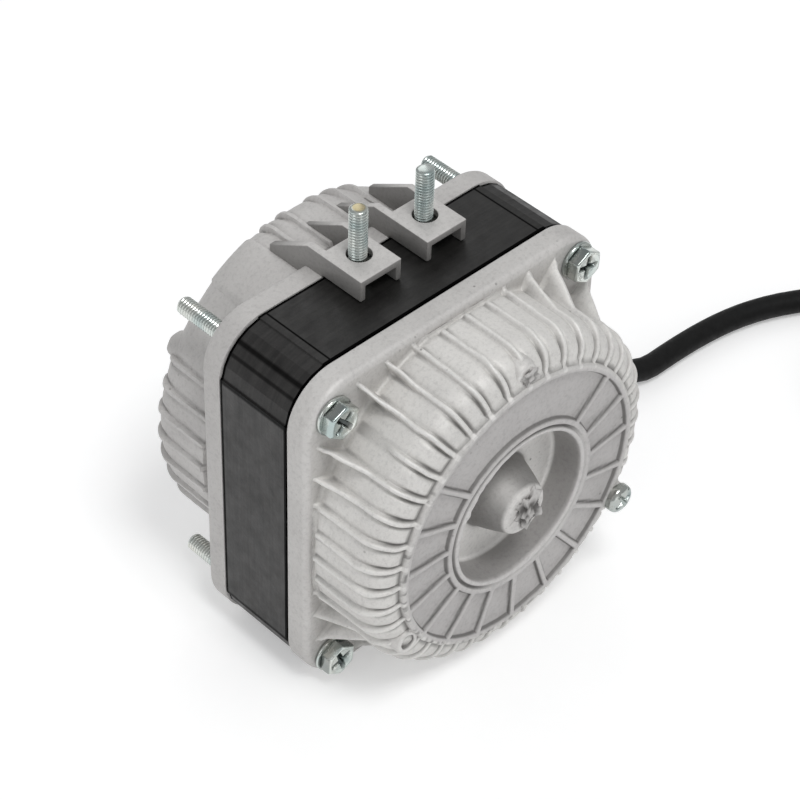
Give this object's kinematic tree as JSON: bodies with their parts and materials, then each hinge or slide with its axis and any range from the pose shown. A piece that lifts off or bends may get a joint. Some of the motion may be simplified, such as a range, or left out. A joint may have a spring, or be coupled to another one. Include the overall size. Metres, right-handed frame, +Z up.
{
  "type": "fan motor",
  "caption": "Square shaded-pole fan motor with a laminated stack between two ribbed cast end covers, two feet with upright bolts and a supply cable.",
  "frame": {"origin": "middle of the lamination stack's underside, on the surface the motor stands on", "axes": "+Z up through the feet, +Y along the shaft out of the drive end, +X towards the cable"},
  "size_m": [0.2168, 0.1407, 0.1005],
  "materials": {
    "cast_aluminium": "as die-cast",
    "lamination": "dark oxide",
    "zinc": "zinc plated",
    "bobbin_nylon": "moulded",
    "winding_copper": "enamelled wire",
    "shading_copper": "bare copper",
    "rotor_steel": "ground",
    "cage_aluminium": "as cast",
    "shaft_steel": "ground",
    "bush_bronze": "sintered",
    "felt": "oiled felt",
    "spring_steel": "hardened",
    "cable_rubber": "matt black",
    "core_brown": "insulation",
    "core_blue": "insulation",
    "core_green": "insulation"
  },
  "bodies": {
    "motor": {"rear_cover": "cast_aluminium", "drive_end_cover": "cast_aluminium", "stator_stack": "lamination", "through_screw_1": "zinc", "through_screw_2": "zinc", "through_screw_3": "zinc", "through_screw_4": "zinc", "foot_bolt_1": "zinc", "foot_bolt_2": "zinc", "earth_screw": "zinc", "coil_bobbin_1": "bobbin_nylon", "coil_bobbin_2": "bobbin_nylon", "coil_bobbin_3": "bobbin_nylon", "coil_bobbin_4": "bobbin_nylon", "coil_winding_1": "winding_copper", "coil_winding_2": "winding_copper", "coil_winding_3": "winding_copper", "coil_winding_4": "winding_copper", "shading_ring_1": "shading_copper", "shading_ring_2": "shading_copper", "shading_ring_3": "shading_copper", "shading_ring_4": "shading_copper", "bearing_bush_rear": "bush_bronze", "bearing_bush_front": "bush_bronze", "oil_felt_rear": "felt", "oil_felt_front": "felt", "bearing_retainer_rear": "spring_steel", "bearing_retainer_front": "spring_steel", "cable_grommet": "cable_rubber", "cable": "cable_rubber", "cable_coil": "cable_rubber", "core_end_brown": "core_brown", "core_end_blue": "core_blue", "core_end_green": "core_green"},
    "rotor": {"rotor_core": "rotor_steel", "rotor_cage": "cage_aluminium", "shaft": "shaft_steel", "thrust_washer_rear": "bobbin_nylon", "thrust_washer_front": "bobbin_nylon", "circlip_rear": "spring_steel", "circlip_front": "spring_steel"}
  },
  "joints": [
    {"name": "rotor_spin", "type": "hinge", "parent": "motor", "child": "rotor", "pos_m": [0, 0, 0.0415], "axis": [0, 1, 0], "continuous": true}
  ]
}
